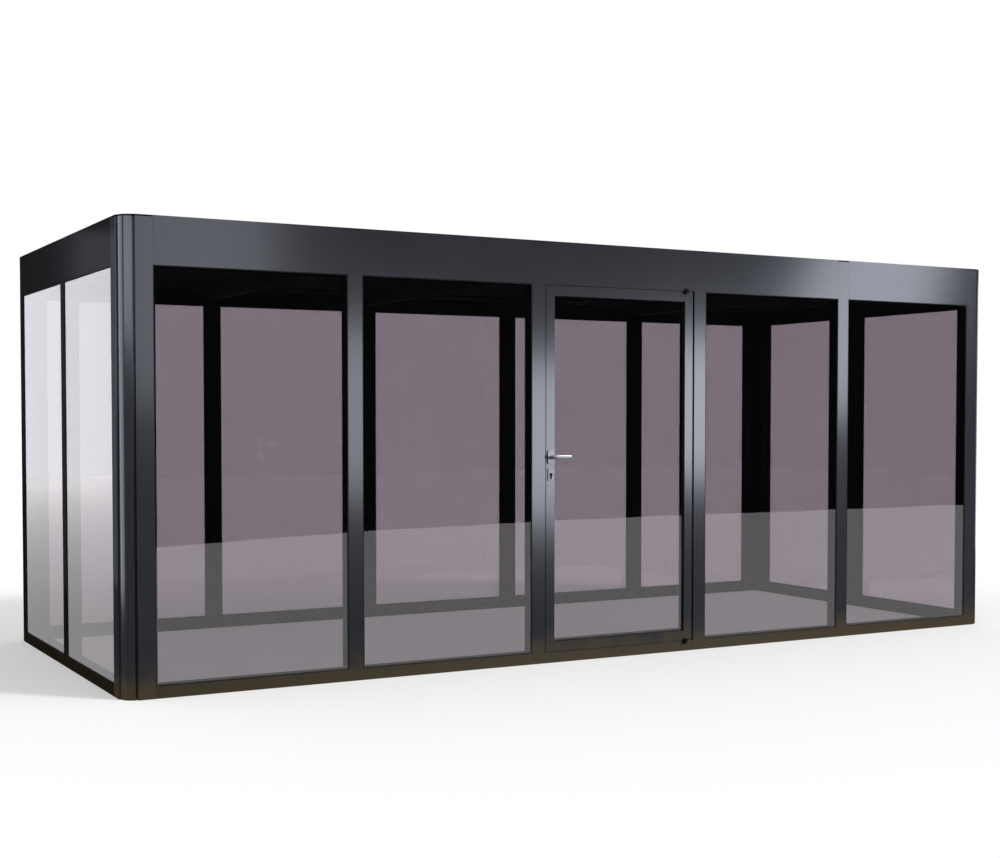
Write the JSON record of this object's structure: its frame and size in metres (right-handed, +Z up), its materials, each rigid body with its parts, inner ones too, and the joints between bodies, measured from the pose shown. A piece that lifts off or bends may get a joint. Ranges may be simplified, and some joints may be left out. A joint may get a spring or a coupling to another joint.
{
  "type": "glass greenhouse",
  "caption": "Flat-roofed greenhouse of dark aluminium posts with tinted glass walls, round-nosed corners and a hinged glass door with a lever handle.",
  "frame": {"origin": "on the ground, at the middle of the foot of the box around the whole greenhouse, its outside door lever included", "axes": "+X along the long walls to the right as seen from the front, -Y out of the front wall with the door, +Z up"},
  "size_m": [5.64, 2.378, 2.305],
  "materials": {
    "frame": "satin anthracite powder coat on aluminium",
    "glass": "clear gloss, grey-mauve tint",
    "roof": "matt dark grey coat on sheet metal",
    "cap": "matt black",
    "seal": "matt black",
    "hinge": "satin black",
    "handle": "satin brushed",
    "lock": "dark satin"
  },
  "bodies": {
    "house": {"corner_post_front_left": "frame", "corner_post_front_right": "frame", "corner_post_back_left": "frame", "corner_post_back_right": "frame", "front_post_1": "frame", "front_post_2": "frame", "front_post_3": "frame", "front_post_4": "frame", "back_post_1": "frame", "back_post_2": "frame", "back_post_3": "frame", "back_post_4": "frame", "left_post": "frame", "right_post": "frame", "front_fascia": "frame", "back_fascia": "frame", "left_fascia": "frame", "right_fascia": "frame", "front_sill": "frame", "back_sill": "frame", "left_sill": "frame", "right_sill": "frame", "door_threshold": "frame", "front_glass": "glass", "back_glass": "glass", "left_glass": "glass", "right_glass": "glass", "roof_beams": "roof", "roof_ledges": "roof", "roof_panels": "roof", "post_caps": "cap", "door_stops": "seal", "hinge_brackets": "hinge"},
    "door": {"latch_stile": "frame", "hinge_stile": "frame", "top_rail": "frame", "bottom_rail": "frame", "door_glass": "glass", "hinge_leaves": "hinge", "handle_roses": "handle", "keyhole_plates": "handle", "lock_cylinder": "lock"},
    "lever": {"outside_lever": "handle", "inside_lever": "handle", "lever_spindle": "handle"}
  },
  "joints": [
    {"name": "door_swing", "type": "hinge", "parent": "house", "child": "door", "pos_m": [0.438, -1.142, 1], "axis": [0, 0, 1], "range_deg": [0, 100]},
    {"name": "lever_turn", "type": "hinge", "parent": "door", "child": "lever", "pos_m": [-0.465, -1.131, 1.13], "axis": [0, 1, 0], "range_deg": [0, 40], "stiffness_Nm_per_rad": 1.5, "springref_deg": -20.05}
  ]
}
